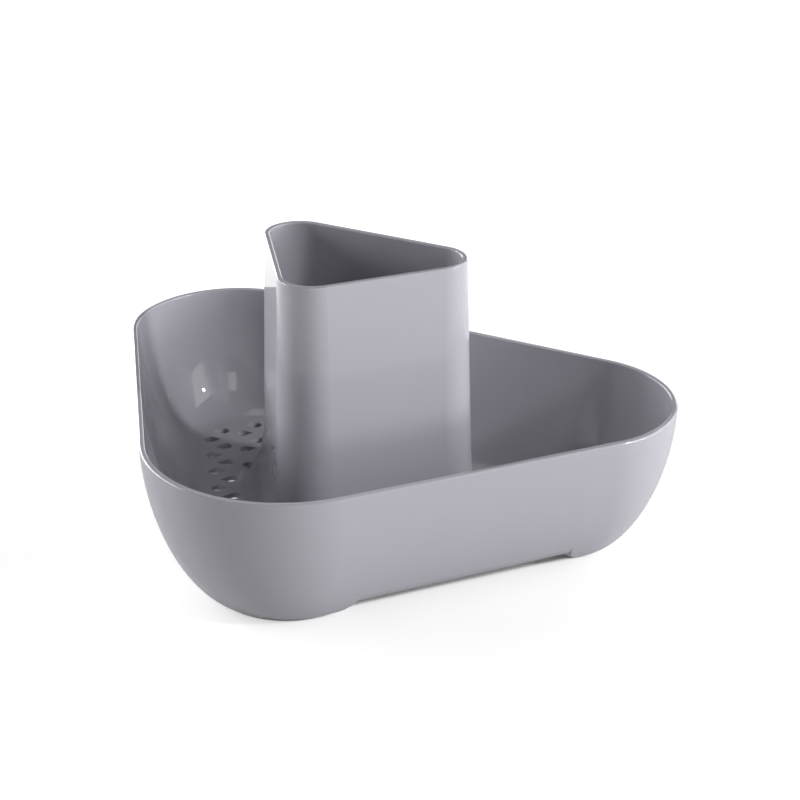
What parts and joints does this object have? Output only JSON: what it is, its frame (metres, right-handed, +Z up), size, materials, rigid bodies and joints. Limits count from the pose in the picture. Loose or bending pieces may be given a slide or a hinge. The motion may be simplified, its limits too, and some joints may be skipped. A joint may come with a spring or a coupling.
{
  "type": "kitchen sink caddy",
  "caption": "Triangular kitchen sink caddy with an open drained bowl and a taller hollow tower for brushes, moulded in one piece on low corner feet.",
  "frame": {"origin": "on the worktop under the middle of the rim", "axes": "+X along the long straight back wall, +Y from the rounded front corner towards that wall, +Z up"},
  "size_m": [0.277, 0.2014, 0.1352],
  "materials": {
    "shell": "glossy injection-moulded cool grey",
    "pad": "matte grey rubber"
  },
  "bodies": {
    "root": {"caddy_body": "shell", "tower_base": "shell", "foot_pad_apex": "pad", "foot_pad_left": "pad", "foot_pad_right": "pad"}
  },
  "joints": []
}
